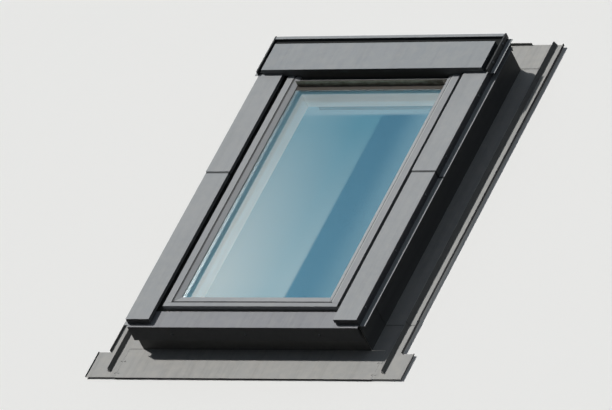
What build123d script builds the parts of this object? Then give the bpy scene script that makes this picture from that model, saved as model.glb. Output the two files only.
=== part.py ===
from build123d import *
import os

# Roof window with its metal casings and flashing, closed, tilted as it lies in the roof.
# Each piece is drawn in the plane of the roof: x runs across, y up the slope and z out of
# the roof, with z = 0 on the battens. All pieces are then turned by PITCH about X, and the
# origin lies on the underside of the sill bracket, in the middle of the window.

os.makedirs("parts", exist_ok=True)

PITCH = 45.0               # slope of the roof, degrees

# Outer size and heights
CASING_WIDTH = 660.0       # over the skirts of the side casings
CASING_LENGTH = 975.0      # from the bottom casing's face to the back of the hood
CASING_TOP = 110.0         # top of the side casings above the battens
FRAME_UNDERSIDE = -25.0    # room side of the timber frame
SHEET = 1.0                # casing and flashing sheet
LAP = 1.2                  # step between two sheets that lap
REST_GAP = 0.3             # free space where one piece rests on another

# Timber frame
FRAME_SIDE_GAP = 5.0       # casing face to timber at the sides
FRAME_SILL_GAP = 12.0      # bottom casing's face to the sill
FRAME_HEAD_GAP = 5.0       # head to the back of the hood
FRAME_THICKNESS = 40.0
GROOVE_DEPTH = 8.0         # groove for the room lining
GROOVE_WIDTH = 8.0
GROOVE_FROM_ROOM = 8.0
EDGE_CHAMFER = 3.0

# Timber sash
SASH_GAP = 4.0             # frame to sash, all round
SASH_UNDERSIDE = 22.0
SASH_SHOULDER = 80.0       # top of the part that lies under the casings
SASH_STILE = 72.0
SASH_BOTTOM_RAIL = 40.0
SASH_TOP_RAIL = 105.0
REBATE_SPACE = 3.0         # edge of the glass to the timber

# Glazing
GLASS_SIDE_MARGIN = 118.0  # casing face to visible glass, at the sides
GLASS_BOTTOM_MARGIN = 96.0
GLASS_TOP_MARGIN = 149.0
GLASS_DROP = 16.0          # visible glass below the casings' top
PANE_THICKNESS = 4.0
PANE_CAVITY = 16.0
PANE_HIDDEN = 18.0         # edge of the pane under the beads, at the sides and the bottom
PANE_HIDDEN_TOP = 14.0
SPACER_WIDTH = 12.0
TAPE_THICKNESS = 2.0
GASKET_THICKNESS = 1.2
GASKET_LINE = 5.0          # rubber that shows between a bead and a cover
GASKET_LINE_DROP = 1.5     # below the bottom bead's back
SIDE_LINE_DROP = 6.0       # below the side beads' back

# Glazing beads
BEAD_WIDTH = 12.5
BOTTOM_BEAD_WIDTH = 18.5
BEAD_EDGE = 1.5            # thickness of the bead's edge on the glass
BEAD_DROP = 1.0            # bead's back below the sash cover
BEAD_MITRE_GAP = 0.2
TOP_BEAD_HEIGHT = 15.5     # upright face of the bead at the top
TOP_BEAD_WALL = 1.5
TOP_BEAD_FOOT = 2.0
BEAD_UNDER_HOOD = 8.0      # upper ends of the side beads, past the hood's front

# Sash covers
COVER_TOP_DROP = 7.0       # below the casings' top
COVER_SLOT = 13.5          # open joint between a side casing and a sash cover
COVER_SLOT_BOTTOM = 6.5
COVER_LEG = 16.0
SLOT_AT_HEAD = 18.0        # sash covers' upper ends to the top of the sash
TROUGH_START = 18.0        # front of the trough behind the top bead's face
TROUGH_BACK = 18.0
SASH_SEAL_HEIGHT = 2.7

# Casings on the frame
CASING_FLAT = 68.5         # flat top of a side casing
CASING_SKIRT = 21.0
CASING_LIP = 15.0          # turned out at the foot of the skirt
CASING_INNER_LEG = 10.0
CASING_JOINT = 461.0       # joint between the two lengths, from the top of the window
CASING_OVERLAP = 15.0
CASING_SETBACK = 10.0      # ends of the side casings behind the bottom casing's face
CASING_HEAD_END = 14.0     # upper ends of the side casings, under the hood
BOTTOM_CASING_DEPTH = 53.5
BOTTOM_CASING_DROP = 19.0
BOTTOM_SKIRT = 45.0

# Hood over the head of the window: a raised face in a rubber-lined groove, with a rim
HOOD_LENGTH = 122.0
HOOD_HEIGHT = 16.0         # face above the side casings
HOOD_FACE_LENGTH = 92.0
HOOD_GROOVE = 12.0         # between the face and the rims of the ends
HOOD_FRONT_BOTTOM = 84.0   # lower edge of the hood's front above the battens
HOOD_RIM_DROP = 4.0        # rim below the face
HOOD_RIM_INSET = 0.6       # rims of the ends inside the casings' face
HOOD_RIM_WIDTH = 4.0
HOOD_BEAD = 9.0            # rim along the back
HOOD_BACK_SKIRT = 58.0
HOOD_RIM_REACH = 2.0       # rims of the ends past the front and the back
HOOD_LIP = 14.5            # turned out at the foot of the plate's skirts
HOOD_LIP_LEVEL = 105.0     # top of these lips above the battens
HOOD_GASKET_HEIGHT = 3.0

# Flashing
APRON_DEPTH = 84.0
APRON_SIDE_REACH = 119.0   # past the casings' face, each side
APRON_SEAM = 36.0          # seam with the corner, past the casings' face
APRON_UPSTAND = 88.0
APRON_END_TURN = 3.0
APRON_HEM = 5.0
FLASHING_LEVEL = 4.0       # top of the flashing above the battens
GUTTER_UPSTAND = 96.0
GUTTER_FLOOR = 56.0        # casing face to the water bar
WATER_BAR_WIDTH = 8.0
WATER_BAR_HEIGHT = 10.0
WATER_BAR_END = 20.0       # lower end of the water bar to the apron's edge
GUTTER_OUTER = 22.0
GUTTER_HEM = 8.0
CORNER_LENGTH = 112.0
CORNER_OVERLAP = 17.0
HEAD_FLASHING_DEPTH = 80.0
HEAD_UPSTAND = 52.0
HEAD_FLASHING_SIDE_GAP = 3.0

# Brackets under the sill and the head
BRACKET_LENGTH = 420.0
BRACKET_THICKNESS = 2.5
BRACKET_SEAT = 60.0
BRACKET_LEG = 20.0
BRACKET_HOLE = 7.0
BRACKET_HOLE_PITCH = 120.0
BRACKET_HOLES = 4

# Fittings on the room side
BAR_LENGTH = 400.0
BAR_WIDTH = 46.0
BAR_HEIGHT = 18.0
BAR_ROUND = 7.0
BAR_FROM_HEAD = 30.0
HINGE_LENGTH = 120.0
HINGE_WIDTH = 34.0
HINGE_FROM_ROOM = 50.0
BOLT_DIAMETER = 12.0
BOLT_LENGTH = 70.0
BOLT_BLOCK = 22.0


# Places worked out from the sizes
half_width = CASING_WIDTH / 2
frame_half = half_width - FRAME_SIDE_GAP
frame_inner = frame_half - FRAME_THICKNESS
frame_front = FRAME_SILL_GAP
frame_back = CASING_LENGTH - FRAME_HEAD_GAP
sill_inner = frame_front + FRAME_THICKNESS
head_inner = frame_back - FRAME_THICKNESS
jamb_top = CASING_TOP - LAP - SHEET - REST_GAP
bottom_casing_top = CASING_TOP - BOTTOM_CASING_DROP
sill_top = bottom_casing_top - SHEET - REST_GAP

glass_top = CASING_TOP - GLASS_DROP
glass_half = half_width - GLASS_SIDE_MARGIN
glass_low = GLASS_BOTTOM_MARGIN
glass_high = CASING_LENGTH - GLASS_TOP_MARGIN
pane_half = glass_half + PANE_HIDDEN
pane_low = glass_low - PANE_HIDDEN
pane_high = glass_high + PANE_HIDDEN_TOP
cavity_top = glass_top - PANE_THICKNESS
cavity_bottom = cavity_top - PANE_CAVITY
glass_bottom = cavity_bottom - PANE_THICKNESS
rebate = glass_bottom - TAPE_THICKNESS

sash_half = frame_inner - SASH_GAP
sash_low = sill_inner + SASH_GAP
sash_high = head_inner - SASH_GAP
wall_side = pane_half + REBATE_SPACE
wall_low = pane_low - REBATE_SPACE
wall_high = pane_high + REBATE_SPACE

cover_top = CASING_TOP - COVER_TOP_DROP
cover_half = half_width - CASING_FLAT - COVER_SLOT
cover_low = BOTTOM_CASING_DEPTH + COVER_SLOT_BOTTOM
cover_high = sash_high - SLOT_AT_HEAD
cover_seat = glass_top + REST_GAP
bead_seat = glass_top + GASKET_THICKNESS + REST_GAP
bead_top = cover_top - BEAD_DROP
bead_half = glass_half + BEAD_WIDTH
bead_low = glass_low - BOTTOM_BEAD_WIDTH
line_half = bead_half + GASKET_LINE
line_low = bead_low - GASKET_LINE
wall_outer = cover_half - SHEET - REST_GAP
wall_start = cover_low + SHEET + REST_GAP

hood_low = CASING_LENGTH - HOOD_LENGTH
hood_top = CASING_TOP + HOOD_HEIGHT
bead_high = hood_low + BEAD_UNDER_HOOD
rim_inner = half_width - HOOD_RIM_INSET
hood_half = rim_inner - HOOD_GROOVE
joint_y = CASING_LENGTH - CASING_JOINT
apron_half = half_width + APRON_SIDE_REACH
seam_x = half_width + APRON_SEAM
upstand_x = frame_half + REST_GAP
mount_y = frame_front - BRACKET_SEAT / 2


def beside(points, distance):
    """The line that runs at a distance to the left of points, with mitred corners."""
    line = []
    for index, point in enumerate(points):
        here = Vector(*point)
        before = Vector(*points[max(index - 1, 0)])
        after = Vector(*points[min(index + 1, len(points) - 1)])
        arriving = (here - before).normalized() if index else (after - here).normalized()
        leaving = (after - here).normalized() if index < len(points) - 1 else arriving
        left_in = Vector(-arriving.Y, arriving.X)
        left_out = Vector(-leaving.Y, leaving.X)
        middle = (left_in + left_out).normalized()
        corner = here + middle * (distance / middle.dot(left_in))
        line.append((corner.X, corner.Y))
    return line


def folded(points, inside, thickness=SHEET):
    """The outline of a sheet folded along points. inside is 1 where the sheet's thickness
    lies to the left of the line, and -1 where it lies to the right."""
    return list(points) + beside(points, inside * thickness)[::-1]


def up_slope(outline, low, high):
    """A straight piece that runs up the slope. Its outline is in x and z."""
    face = Face(Wire.make_polygon([(x, low, z) for x, z in outline], close=True))
    return Part() + extrude(face, amount=high - low, dir=(0, 1, 0))


def across(outline, left, right):
    """A straight piece that runs across the window. Its outline is in y and z."""
    face = Face(Wire.make_polygon([(left, y, z) for y, z in outline], close=True))
    return Part() + extrude(face, amount=right - left, dir=(1, 0, 0))


def block(x_low, x_high, y_low, y_high, z_low, z_high):
    """A squared piece between two corners."""
    middle = Pos((x_low + x_high) / 2, (y_low + y_high) / 2, (z_low + z_high) / 2)
    return middle * Box(x_high - x_low, y_high - y_low, z_high - z_low)


def ring(x_out, y_low, y_high, width, z_low, z_high):
    """A flat frame of one width round a rectangle that is centred across the window."""
    outer = block(-x_out, x_out, y_low, y_high, z_low, z_high)
    inner = block(width - x_out, x_out - width, y_low + width, y_high - width, z_low, z_high)
    return outer - inner


def upright(outline, low, high):
    """A straight piece that stands on the roof plane. Its outline is in x and y."""
    face = Face(Wire.make_polygon([(x, y, low) for x, y in outline], close=True))
    return Part() + extrude(face, amount=high - low, dir=(0, 0, 1))


def mirrored(part):
    """The same piece on the other side of the window."""
    return mirror(part, about=Plane.YZ)


def save(part, name):
    """Tilts a piece with the roof and writes it."""
    placed = Rot(PITCH, 0, 0) * (Pos(0, -mount_y, 0) * part)
    placed.label = name
    export_step(placed, "parts/" + name + ".step")


def save_pair(right_piece, name):
    """Writes a piece and its mirror image."""
    save(right_piece, name + "_right")
    save(mirrored(right_piece), name + "_left")


# Timber frame. The jambs run the full length, and the sill and the head stand between them.
groove_low = FRAME_UNDERSIDE + GROOVE_FROM_ROOM
groove_high = groove_low + GROOVE_WIDTH


def frame_section(outer, inner, top):
    """Section of a frame timber from its outer face to its inner one, with the groove."""
    way = 1 if inner > outer else -1
    return [
        (outer, FRAME_UNDERSIDE),
        (outer, top),
        (inner, top),
        (inner, groove_high),
        (inner - way * GROOVE_DEPTH, groove_high),
        (inner - way * GROOVE_DEPTH, groove_low),
        (inner, groove_low),
        (inner, FRAME_UNDERSIDE + EDGE_CHAMFER),
        (inner - way * EDGE_CHAMFER, FRAME_UNDERSIDE),
    ]


save_pair(up_slope(frame_section(frame_half, frame_inner, jamb_top), frame_front, frame_back),
          "frame_jamb")
save(across(frame_section(frame_front, sill_inner, sill_top), -frame_inner, frame_inner),
     "frame_sill")
save(across(frame_section(frame_back, head_inner, jamb_top), -frame_inner, frame_inner),
     "frame_head")


# Timber sash with a rebate for the glass. The stiles run the full length.
def sash_section(outer, inner, wall_back, wall_inner):
    """Section of a sash timber with its wall beside the glass."""
    way = 1 if inner > outer else -1
    return [
        (outer, SASH_UNDERSIDE),
        (outer, SASH_SHOULDER),
        (wall_back, SASH_SHOULDER),
        (wall_back, glass_top),
        (wall_inner, glass_top),
        (wall_inner, rebate),
        (inner, rebate),
        (inner, SASH_UNDERSIDE + EDGE_CHAMFER),
        (inner - way * EDGE_CHAMFER, SASH_UNDERSIDE),
    ]


stile_inner = sash_half - SASH_STILE
bottom_rail_inner = sash_low + SASH_BOTTOM_RAIL
top_rail_inner = sash_high - SASH_TOP_RAIL
stile = sash_section(sash_half, stile_inner, wall_outer, wall_side)
bottom_rail = sash_section(sash_low, bottom_rail_inner, wall_start, wall_low)
top_rail = [
    (sash_high, SASH_UNDERSIDE),
    (sash_high, SASH_SHOULDER),
    (wall_high, SASH_SHOULDER),
    (wall_high, rebate),
    (top_rail_inner, rebate),
    (top_rail_inner, SASH_UNDERSIDE + EDGE_CHAMFER),
    (top_rail_inner + EDGE_CHAMFER, SASH_UNDERSIDE),
]
low_cut = block(stile_inner, sash_half, sash_low, wall_start, SASH_SHOULDER, glass_top)
high_cut = block(stile_inner, sash_half, cover_high, sash_high, SASH_SHOULDER, glass_top)
save_pair(up_slope(stile, sash_low, sash_high) - low_cut - high_cut, "sash_stile")
save(across(bottom_rail, -stile_inner, stile_inner), "sash_bottom_rail")
save(across(top_rail, -stile_inner, stile_inner), "sash_top_rail")

# Rubber seal on the shoulder of the sash, all round, under the casings.
seal_half = sash_half - REST_GAP
seal_low = sash_low + REST_GAP
seal_high = sash_high - REST_GAP
seal_base = SASH_SHOULDER + REST_GAP
seal_plate = block(-seal_half, seal_half, seal_low, seal_high, seal_base,
                   seal_base + SASH_SEAL_HEIGHT)
seal_opening = block(-cover_half - REST_GAP, cover_half + REST_GAP, cover_low - REST_GAP,
                     cover_high + REST_GAP, seal_base, seal_base + SASH_SEAL_HEIGHT)
save(seal_plate - seal_opening, "frame_gasket")

# Double glazing: two panes, the spacer between them and the tape below.
save(block(-pane_half, pane_half, pane_low, pane_high, cavity_top, glass_top), "outer_pane")
save(block(-pane_half, pane_half, pane_low, pane_high, glass_bottom, cavity_bottom),
     "inner_pane")
save(ring(pane_half, pane_low, pane_high, SPACER_WIDTH, cavity_bottom, cavity_top),
     "pane_spacer")
save(ring(pane_half, pane_low, pane_high, SPACER_WIDTH, rebate, glass_bottom), "glazing_tape")

# Rubber gasket along the sides and the bottom: a foot under the beads, and a line that shows
# between the beads and the sash covers.
gasket_top = glass_top + GASKET_THICKNESS
foot_plate = block(-bead_half, bead_half, bead_low, bead_high, glass_top, gasket_top)
foot_opening = block(-glass_half, glass_half, glass_low, bead_high, glass_top, gasket_top)
line_outer = line_half - REST_GAP
line_inner = bead_half + REST_GAP
line_top = bead_top - GASKET_LINE_DROP
line_plate = block(-line_outer, line_outer, line_low + REST_GAP, bead_high, glass_top, line_top)
line_opening = block(-line_inner, line_inner, bead_low - REST_GAP, bead_high, gasket_top,
                     line_top)
side_groove = block(-line_outer, line_outer, bead_low, bead_high, bead_top - SIDE_LINE_DROP,
                    line_top)
gasket = line_plate - line_opening - foot_opening - side_groove
save(gasket + (foot_plate - foot_opening), "glazing_gasket")

# Glazing beads of solid section, mitred at the lower corners. The top one is an angle with
# an upright face, and stands between the side beads.
side_bead_section = [
    (bead_half, bead_seat),
    (bead_half, bead_top),
    (glass_half, bead_seat + BEAD_EDGE),
    (glass_half, bead_seat),
]
bottom_bead_section = [
    (bead_low, bead_seat),
    (bead_low, bead_top),
    (glass_low, bead_seat + BEAD_EDGE),
    (glass_low, bead_seat),
]
mitre_start = (glass_half - BEAD_WIDTH, glass_low + BOTTOM_BEAD_WIDTH)
mitre_end = (glass_half + 2 * BEAD_WIDTH, glass_low - 2 * BOTTOM_BEAD_WIDTH)
below_mitre = upright([(x, y + BEAD_MITRE_GAP) for x, y in
                       [mitre_start, mitre_end, (mitre_start[0], mitre_end[1])]],
                      glass_top, cover_top)
above_mitre = upright([(x, y - BEAD_MITRE_GAP) for x, y in
                       [mitre_start, mitre_end, (mitre_end[0], mitre_start[1])]],
                      glass_top, cover_top)
side_bead = up_slope(side_bead_section, bead_low, bead_high) - below_mitre
bottom_bead = across(bottom_bead_section, -bead_half, bead_half)
save_pair(side_bead, "glazing_bead")
save(bottom_bead - above_mitre - mirrored(above_mitre), "glazing_bead_bottom")

trough_front = glass_high + TROUGH_START
top_bead_foot = bead_seat + TOP_BEAD_FOOT
top_bead_section = [
    (glass_high, bead_seat),
    (glass_high, bead_seat + TOP_BEAD_HEIGHT),
    (glass_high + TOP_BEAD_WALL, bead_seat + TOP_BEAD_HEIGHT),
    (glass_high + TOP_BEAD_WALL, top_bead_foot),
    (trough_front - REST_GAP, top_bead_foot),
    (trough_front - REST_GAP, bead_seat),
]
trough_half = glass_half - REST_GAP
save(across(top_bead_section, -trough_half, trough_half), "glazing_bead_top")


# Sash covers of folded sheet on the timber beside the glass.
def cover_section(outer, inner):
    """Section of a sash cover: a leg down the timber, a flat top and a turned edge."""
    way = 1 if inner > outer else -1
    return folded([
        (outer, cover_top - COVER_LEG),
        (outer, cover_top),
        (inner, cover_top),
        (inner, cover_seat),
    ], -way)


save_pair(up_slope(cover_section(cover_half, line_half), line_low, cover_high), "sash_cover")
save(across(cover_section(cover_low, line_low - REST_GAP), -cover_half, cover_half),
     "sash_cover_bottom")

# Cover of the top rail: the floor of the open trough between the top bead and the hood.
trough_floor = SASH_SHOULDER + REST_GAP
trough_section = folded([
    (trough_front, top_bead_foot),
    (trough_front, trough_floor),
    (sash_high - TROUGH_BACK, trough_floor),
    (sash_high - TROUGH_BACK, cover_top),
], 1)
save(across(trough_section, -trough_half, trough_half), "sash_cover_top")


# Side casings in two lengths. The upper one laps over the lower one.
def casing_section(inset):
    """Section of a side casing, drawn in by inset where another length laps over it."""
    outer = half_width - inset
    inner = half_width - CASING_FLAT + inset
    top = CASING_TOP - inset
    bottom = CASING_TOP - CASING_SKIRT
    return folded([
        (outer + CASING_LIP, bottom - inset),
        (outer, bottom - inset),
        (outer, top),
        (inner, top),
        (inner, top - CASING_INNER_LEG),
    ], 1)


leg_inner = half_width - CASING_FLAT
head_notch = block(leg_inner, frame_inner, head_inner - REST_GAP, CASING_LENGTH,
                   CASING_TOP - CASING_INNER_LEG, CASING_TOP - SHEET)
lower_casing = up_slope(casing_section(LAP), CASING_SETBACK, joint_y + CASING_OVERLAP)
upper_casing = up_slope(casing_section(0), joint_y, CASING_LENGTH - CASING_HEAD_END)
save_pair(lower_casing, "side_casing_lower")
save_pair(upper_casing - head_notch, "side_casing_upper")

# Bottom casing between the side casings, with its skirt over the whole front and a plate that
# closes the lower end of each side casing.
top_fold = folded([
    (0, bottom_casing_top - BOTTOM_SKIRT),
    (0, bottom_casing_top),
    (BOTTOM_CASING_DEPTH, bottom_casing_top),
    (BOTTOM_CASING_DEPTH, bottom_casing_top - CASING_INNER_LEG),
], -1)
skirt_half = half_width - LAP - SHEET - REST_GAP
front_skirt = block(-skirt_half, skirt_half, 0, SHEET,
                    bottom_casing_top - BOTTOM_SKIRT, bottom_casing_top)
end_inner = leg_inner + LAP + SHEET + REST_GAP
end_back = frame_front - REST_GAP
end_foot = block(end_inner, skirt_half, 0, end_back, bottom_casing_top - SHEET,
                 bottom_casing_top)
end_plate = end_foot + block(end_inner, skirt_half, end_back - SHEET, end_back,
                             bottom_casing_top - SHEET, jamb_top)
casing_front = across(top_fold, REST_GAP - frame_inner, frame_inner - REST_GAP) + front_skirt
save(casing_front + end_plate + mirrored(end_plate), "bottom_casing")

# Plate of the hood, that lies on the side casings and turns down beside them to a lip. It
# carries the hood's parts.
plate_base = CASING_TOP + REST_GAP
plate_top = plate_base + SHEET
groove_floor = plate_top + REST_GAP
rim_top = hood_top - HOOD_RIM_DROP
rim_outer = rim_inner + HOOD_RIM_WIDTH
plate_half = half_width + REST_GAP + SHEET
plate_section = folded([
    (plate_half + HOOD_LIP, HOOD_LIP_LEVEL),
    (plate_half, HOOD_LIP_LEVEL),
    (plate_half, plate_top),
    (-plate_half, plate_top),
    (-plate_half, HOOD_LIP_LEVEL),
    (-plate_half - HOOD_LIP, HOOD_LIP_LEVEL),
], 1)
save(up_slope(plate_section, hood_low + SHEET + REST_GAP, CASING_LENGTH - SHEET - REST_GAP),
     "head_casing")

# Raised face of the hood. Its front reaches down between the side casings, and further down
# between the sash covers.
face_back = hood_low + HOOD_FACE_LENGTH
face_section = folded([
    (hood_low, plate_base),
    (hood_low, hood_top),
    (face_back, hood_top),
    (face_back, groove_floor),
], -1)
face_end = block(hood_half - SHEET, hood_half, hood_low, face_back, groove_floor,
                 hood_top)
front_half = leg_inner - 2 * REST_GAP
front_at_casings = block(-front_half, front_half, hood_low, hood_low + SHEET,
                         cover_top + 2 * REST_GAP, hood_top)
deep_half = trough_half - REST_GAP
front_at_covers = block(-deep_half, deep_half, hood_low, hood_low + SHEET, HOOD_FRONT_BOTTOM,
                        hood_top)
hood = across(face_section, -hood_half, hood_half) + face_end + mirrored(face_end)
save(hood + front_at_casings + front_at_covers, "hood")

# Rim along the back of the hood, with its skirt, and the moulded caps of the two ends.
bead_front = CASING_LENGTH - HOOD_BEAD
back_section = folded([
    (bead_front, groove_floor),
    (bead_front, rim_top),
    (CASING_LENGTH, rim_top),
    (CASING_LENGTH, rim_top - HOOD_BACK_SKIRT),
], -1)
save(across(back_section, 2 * REST_GAP - rim_inner, rim_inner - 2 * REST_GAP),
     "hood_back")

rim_low = hood_low - HOOD_RIM_REACH
rim_high = CASING_LENGTH + HOOD_RIM_REACH
cap_bottom = HOOD_LIP_LEVEL + REST_GAP
rim_section = folded([
    (rim_inner, groove_floor),
    (rim_inner, rim_top),
    (rim_outer, rim_top),
    (rim_outer, cap_bottom),
], -1)
rim_front = block(rim_inner, rim_outer, rim_low, rim_low + SHEET, groove_floor, rim_top)
rim_back = block(rim_inner, rim_outer, rim_high - SHEET, rim_high, cap_bottom, rim_top)
save_pair(up_slope(rim_section, rim_low, rim_high) + rim_front + rim_back, "hood_end")

# Rubber in the groove between the raised face and the rims.
rubber_top = groove_floor + HOOD_GASKET_HEIGHT
rubber_half = rim_inner - REST_GAP
rubber_low = hood_low + SHEET + REST_GAP
rubber_plate = block(-rubber_half, rubber_half, rubber_low, bead_front - REST_GAP, groove_floor,
                     rubber_top)
opening_half = hood_half + REST_GAP
rubber_opening = block(-opening_half, opening_half, rubber_low, face_back + REST_GAP, groove_floor,
                       rubber_top)
save(rubber_plate - rubber_opening, "hood_gasket")

# Apron in front of the window, with its upstand behind the bottom casing's skirt.
apron_back = frame_front - REST_GAP
apron_section = folded([
    (apron_back, APRON_UPSTAND),
    (apron_back, FLASHING_LEVEL - SHEET),
    (-APRON_DEPTH, FLASHING_LEVEL - SHEET),
], -1)
apron_upstand = across(apron_section, -upstand_x, upstand_x)
apron_plate = block(-seam_x, seam_x, -APRON_DEPTH, apron_back - SHEET,
                    FLASHING_LEVEL - SHEET, FLASHING_LEVEL)
apron_hem = block(-seam_x, seam_x, -APRON_DEPTH - SHEET, -APRON_DEPTH,
                  FLASHING_LEVEL - APRON_HEM, FLASHING_LEVEL)
save(apron_upstand + apron_plate + apron_hem, "apron")


# Side gutters with a water bar. Each laps over the corner piece below it.
def gutter_section(lift, first=None):
    """Section of the gutter from its upstand, or from first without one, to its hem. It
    lies lift above the gutter that it laps over."""
    level = FLASHING_LEVEL - SHEET
    bar = half_width + GUTTER_FLOOR
    bar_end = bar + WATER_BAR_WIDTH
    start = [(first, level)] if first else [(upstand_x, GUTTER_UPSTAND), (upstand_x, level)]
    line = start + [
        (bar, level),
        (bar + WATER_BAR_WIDTH / 2, level + WATER_BAR_HEIGHT),
        (bar_end, level),
        (bar_end + GUTTER_OUTER, level),
        (bar_end + GUTTER_OUTER, level + GUTTER_HEM),
    ]
    return folded(beside(line, lift), 1)


head_end = CASING_LENGTH + HEAD_FLASHING_DEPTH
gutter_beside = up_slope(gutter_section(LAP), CORNER_LENGTH - CORNER_OVERLAP, frame_back)
gutter_above = up_slope(gutter_section(LAP, half_width), frame_back, head_end)
save_pair(gutter_beside + gutter_above, "side_gutter")

corner_channel = up_slope(gutter_section(0), frame_front, CORNER_LENGTH)
bar_foot = WATER_BAR_END - APRON_DEPTH
seam_side = seam_x + REST_GAP
gutter_edge = half_width + GUTTER_FLOOR + WATER_BAR_WIDTH + GUTTER_OUTER
corner_foot = up_slope(gutter_section(0, seam_side), bar_foot, frame_front)
corner_flat = block(seam_side, gutter_edge, -APRON_DEPTH, bar_foot, FLASHING_LEVEL - SHEET,
                    FLASHING_LEVEL)
corner_wing = block(gutter_edge, apron_half, -APRON_DEPTH, 0, FLASHING_LEVEL - SHEET,
                    FLASHING_LEVEL)
corner_turn = block(apron_half, apron_half + SHEET, -APRON_DEPTH, 0, FLASHING_LEVEL - SHEET,
                    FLASHING_LEVEL + APRON_END_TURN)
corner_foot_cut = block(gutter_edge - SHEET, gutter_edge, -APRON_DEPTH, 0, FLASHING_LEVEL,
                        FLASHING_LEVEL + GUTTER_HEM)
corner = corner_channel + corner_foot - corner_foot_cut + corner_flat + corner_wing
corner += corner_turn
save_pair(corner, "apron_corner")

# Flashing above the head, lapped over the gutters.
head_level = FLASHING_LEVEL - SHEET + 2 * LAP
head_half = half_width + GUTTER_FLOOR - HEAD_FLASHING_SIDE_GAP
head_section = folded([
    (frame_back + REST_GAP, HEAD_UPSTAND),
    (frame_back + REST_GAP, head_level),
    (head_end, head_level),
    (head_end, head_level + GUTTER_HEM),
], 1)
head_upstand_part = across(head_section, -frame_half, frame_half)
head_plate = block(-head_half, head_half, frame_back + REST_GAP + SHEET, head_end,
                   head_level, head_level + SHEET)
save(head_upstand_part + head_plate, "head_flashing")


# Steel angles that hold the window, with their seats on the battens and their legs down the
# faces of the sill and the head.
sill_bracket_section = [
    (frame_front, -BRACKET_LEG),
    (frame_front, BRACKET_THICKNESS),
    (frame_front - BRACKET_SEAT, BRACKET_THICKNESS),
    (frame_front - BRACKET_SEAT, 0),
    (frame_front - BRACKET_THICKNESS, 0),
    (frame_front - BRACKET_THICKNESS, -BRACKET_LEG),
]
head_bracket_section = [(frame_front + frame_back - y, z) for y, z in sill_bracket_section]


def bracket_holes(seat_middle):
    """Screw holes in a row along the seat of a bracket."""
    row = Part()
    for index in range(BRACKET_HOLES):
        x = (index - (BRACKET_HOLES - 1) / 2) * BRACKET_HOLE_PITCH
        row += Pos(x, seat_middle, BRACKET_THICKNESS / 2) * Cylinder(
            BRACKET_HOLE / 2, 2 * BRACKET_THICKNESS)
    return row


bracket_half = BRACKET_LENGTH / 2
sill_bracket = across(sill_bracket_section, -bracket_half, bracket_half)
head_bracket = across(head_bracket_section, -bracket_half, bracket_half)
save(sill_bracket - bracket_holes(mount_y), "sill_bracket")
save(head_bracket - bracket_holes(frame_front + frame_back - mount_y), "head_bracket")

# Fittings on the room side: the control bar, the pivot hinges and the bolt.
bar_high = sash_high - BAR_FROM_HEAD
bar_low = bar_high - BAR_WIDTH
bar_top = SASH_UNDERSIDE - REST_GAP
bar = block(-BAR_LENGTH / 2, BAR_LENGTH / 2, bar_low, bar_high, bar_top - BAR_HEIGHT, bar_top)
bar_edges = bar.edges().filter_by(Axis.X).group_by(Axis.Z)[0]
save(fillet(bar_edges, BAR_ROUND), "control_bar")

hinge_middle = (sash_low + sash_high) / 2
hinge_low = FRAME_UNDERSIDE + HINGE_FROM_ROOM
hinge = block(sash_half + REST_GAP, frame_inner - REST_GAP, hinge_middle - HINGE_LENGTH / 2,
              hinge_middle + HINGE_LENGTH / 2, hinge_low, hinge_low + HINGE_WIDTH)
save_pair(hinge, "pivot_hinge")

bolt_level = SASH_UNDERSIDE - BOLT_BLOCK / 2 - REST_GAP
bolt_y = sash_low + SASH_BOTTOM_RAIL / 2
bolt_block = block(-BOLT_BLOCK, BOLT_BLOCK, bolt_y - BOLT_BLOCK / 2, bolt_y + BOLT_BLOCK / 2,
                   SASH_UNDERSIDE - REST_GAP - BOLT_BLOCK, SASH_UNDERSIDE - REST_GAP)
bolt = Pos(0, bolt_y, bolt_level) * Rot(90, 0, 0) * Cylinder(BOLT_DIAMETER / 2, BOLT_LENGTH / 2)
save(bolt_block + bolt, "barrel_bolt")
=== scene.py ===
import math

import bmesh
import bpy
from mathutils import Matrix, Vector


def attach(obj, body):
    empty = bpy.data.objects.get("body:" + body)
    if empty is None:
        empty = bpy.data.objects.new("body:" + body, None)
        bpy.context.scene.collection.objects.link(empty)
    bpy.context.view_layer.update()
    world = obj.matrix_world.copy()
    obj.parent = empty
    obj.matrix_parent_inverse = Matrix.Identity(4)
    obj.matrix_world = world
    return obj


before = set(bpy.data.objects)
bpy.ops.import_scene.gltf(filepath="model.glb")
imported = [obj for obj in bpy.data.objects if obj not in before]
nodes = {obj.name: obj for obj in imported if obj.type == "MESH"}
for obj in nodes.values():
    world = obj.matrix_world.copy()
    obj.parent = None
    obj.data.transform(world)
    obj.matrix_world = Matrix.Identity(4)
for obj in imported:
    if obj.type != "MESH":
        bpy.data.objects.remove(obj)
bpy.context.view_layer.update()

picture = bpy.context.scene

# The timber frame: planed pine, painted white, with a groove for the room lining. The two
# jambs run the full length, and the sill and the head stand between them.
SLOPE = math.radians(45)
TIMBER_EDGE = 1.2
WHITE_PAINT = (0.76, 0.75, 0.71, 1)
PAINT_IN_GRAIN = (0.66, 0.63, 0.56, 1)
PAINT_YELLOWED = (0.71, 0.68, 0.60, 1)


def feed(tree, node, **sockets):
    """Gives sockets of a node a value or another node's output. Each socket is named with
    underscores for spaces, or by at_ and its number."""
    for label, value in sockets.items():
        key = int(label[3:]) if label.startswith("at_") else label.replace("_", " ")
        if isinstance(value, bpy.types.NodeSocket):
            tree.links.new(value, node.inputs[key])
        else:
            node.inputs[key].default_value = value


def add(tree, kind, settings=None, **sockets):
    """A node with its own settings and its sockets fed."""
    made = tree.nodes.new(kind)
    for label, value in (settings or {}).items():
        setattr(made, label, value)
    feed(tree, made, **sockets)
    return made


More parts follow.
